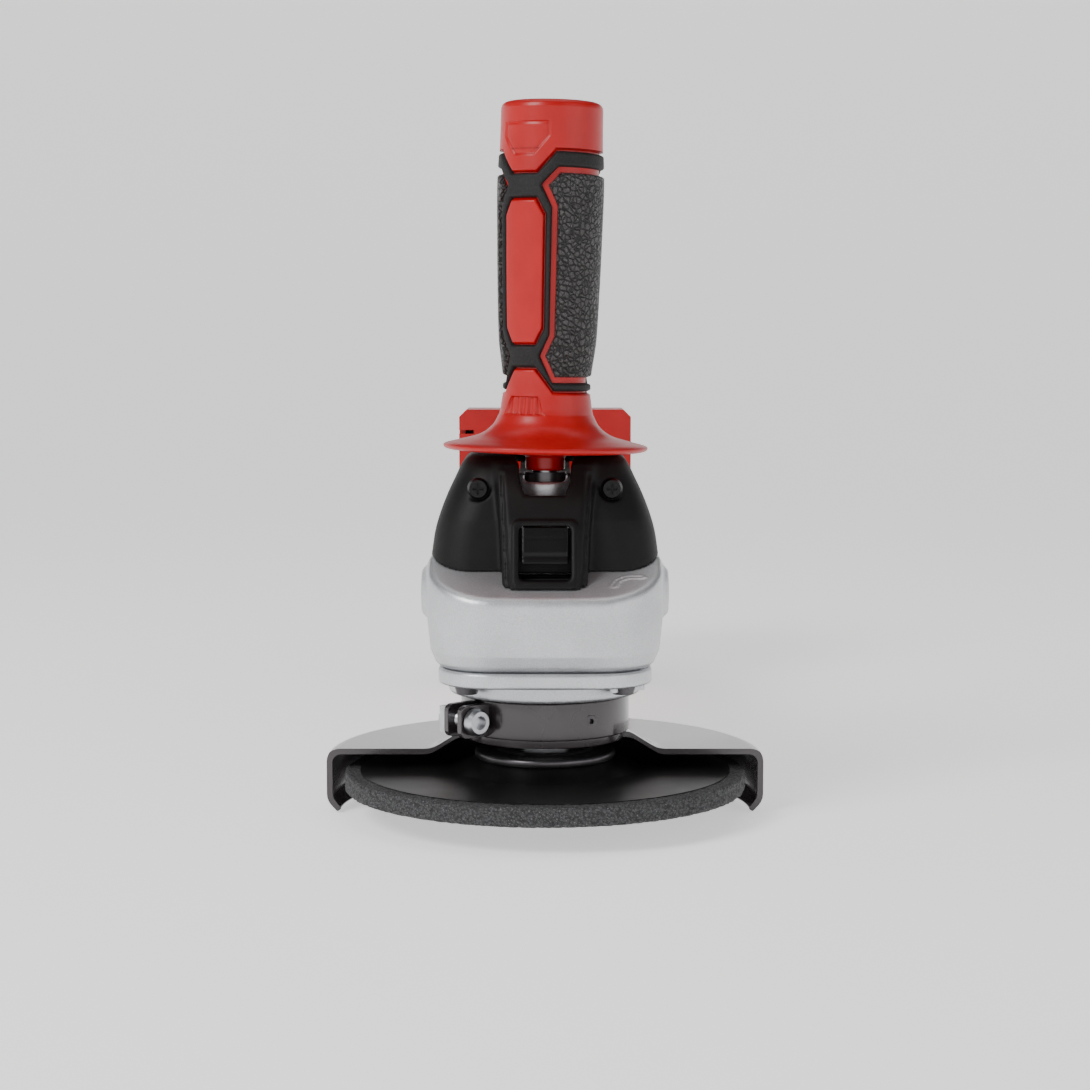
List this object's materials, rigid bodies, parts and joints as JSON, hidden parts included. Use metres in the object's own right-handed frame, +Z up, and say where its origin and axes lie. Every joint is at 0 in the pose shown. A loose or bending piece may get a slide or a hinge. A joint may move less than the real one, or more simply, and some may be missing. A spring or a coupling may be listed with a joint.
{
  "type": "angle grinder",
  "caption": "Cordless angle grinder with a depressed-centre disc, an open half guard, a screw-in side handle and a slide-on battery pack.",
  "frame": {"origin": "on the spindle axis, at the spindle's lower end", "axes": "+Z up along the spindle, +Y from the head towards the battery, +X to the right of the tool seen from its head"},
  "size_m": [0.1368, 0.3885, 0.2196],
  "materials": {
    "abrasive": "coarse dark abrasive",
    "label_black": "smooth black print",
    "bright_steel": "turned steel",
    "gear_steel": "ground steel",
    "dark_steel": "blackened steel",
    "guard_lacquer": "dark glossy lacquer",
    "silver_paint": "silver paint on a casting",
    "black_plastic": "fine moulded grain",
    "soft_black": "textured soft grip",
    "red_plastic": "satin red",
    "copper": "enamelled copper",
    "board_green": "circuit board",
    "cell_wrap": "shrink wrap"
  },
  "bodies": {
    "root": {"lower_bearing_outer": "bright_steel", "upper_bearing": "bright_steel", "bearing_cover": "silver_paint", "bearing_cover_screws": "dark_steel", "gear_housing": "silver_paint", "head_cover": "black_plastic", "head_cover_screws": "dark_steel", "housing_screws": "dark_steel", "front_motor_bearing_outer": "bright_steel", "rear_motor_bearing_outer": "bright_steel", "air_baffle": "black_plastic", "stator": "gear_steel", "stator_coils": "copper", "motor_board": "board_green", "body_shell_left": "red_plastic", "body_shell_right": "red_plastic", "grip_cover_left": "soft_black", "grip_cover_right": "soft_black", "shell_screws": "dark_steel", "switch_unit": "black_plastic", "control_board": "board_green", "terminal_block": "black_plastic", "battery_foot": "red_plastic"},
    "spindle_group": {"spindle": "bright_steel", "crown_gear": "gear_steel", "lower_bearing_inner": "bright_steel", "inner_flange": "dark_steel", "grinding_disc": "abrasive", "disc_label": "label_black", "outer_nut": "bright_steel"},
    "rotor_group": {"motor_shaft": "bright_steel", "pinion_gear": "gear_steel", "rotor": "gear_steel", "cooling_fan": "black_plastic", "front_motor_bearing_inner": "bright_steel", "rear_motor_bearing_inner": "bright_steel"},
    "guard_group": {"guard": "guard_lacquer", "clamp_band": "guard_lacquer", "clamp_nut": "bright_steel", "band_screw": "dark_steel"},
    "clamp_screw": {"clamp_screw": "bright_steel"},
    "lock_button": {"lock_button": "black_plastic", "lock_pin": "bright_steel", "lock_spring": "bright_steel"},
    "switch": {"switch_knob": "black_plastic", "switch_rod": "black_plastic"},
    "battery": {"battery_case": "black_plastic", "battery_cells": "cell_wrap", "battery_contacts": "copper"},
    "battery_latch": {"battery_latch": "red_plastic"},
    "charge_button": {"charge_button": "red_plastic"},
    "handle_collar": {"handle_collar": "dark_steel"},
    "handle": {"handle_core": "red_plastic", "handle_grip": "soft_black", "handle_stud": "bright_steel"}
  },
  "joints": [
    {"name": "spindle_spin", "type": "hinge", "parent": "root", "child": "spindle_group", "pos_m": [0, 0, 0.04], "axis": [0, 0, 1], "continuous": true},
    {"name": "motor_spin", "type": "hinge", "parent": "root", "child": "rotor_group", "pos_m": [0, 0.07, 0.069], "axis": [0, 1, 0], "continuous": true},
    {"name": "guard_turn", "type": "hinge", "parent": "root", "child": "guard_group", "pos_m": [0, 0, 0.028], "axis": [0, 0, 1], "range_deg": [-90, 90]},
    {"name": "clamp_screw_turn", "type": "hinge", "parent": "guard_group", "child": "clamp_screw", "pos_m": [-0.02421, -0.02031, 0.02945], "axis": [0.6428, -0.766, 0], "continuous": true},
    {"name": "lock_button_press", "type": "slide", "parent": "root", "child": "lock_button", "axis": [0, 0, -1], "range_m": [0, 0.0032], "stiffness_N_per_m": 1500, "springref_m": -0.001, "deforming": ["lock_spring"]},
    {"name": "switch_slide", "type": "slide", "parent": "root", "child": "switch", "axis": [0, -1, 0], "range_m": [0, 0.006]},
    {"name": "battery_slide", "type": "slide", "parent": "root", "child": "battery", "axis": [0, 0, -1], "range_m": [0, 0.075]},
    {"name": "battery_latch_press", "type": "slide", "parent": "battery", "child": "battery_latch", "axis": [0, 1, 0], "range_m": [0, 0.0035], "stiffness_N_per_m": 800, "springref_m": -0.001},
    {"name": "charge_button_press", "type": "slide", "parent": "battery", "child": "charge_button", "axis": [0, -1, 0], "range_m": [0, 0.0008], "stiffness_N_per_m": 1500, "springref_m": -0.0003},
    {"name": "handle_rise", "type": "slide", "parent": "root", "child": "handle_collar", "axis": [0, 0, 1], "range_m": [0, 0.01]},
    {"name": "handle_turn", "type": "hinge", "parent": "handle_collar", "child": "handle", "pos_m": [0, 0, 0.1], "axis": [0, 0, 1], "range_deg": [0, 2885]}
  ],
  "couplings": [
    {"joint": "motor_spin", "follows": "spindle_spin", "ratio": 4},
    {"joint": "handle_turn", "follows": "handle_rise", "rad_per_m": 5026.5}
  ]
}
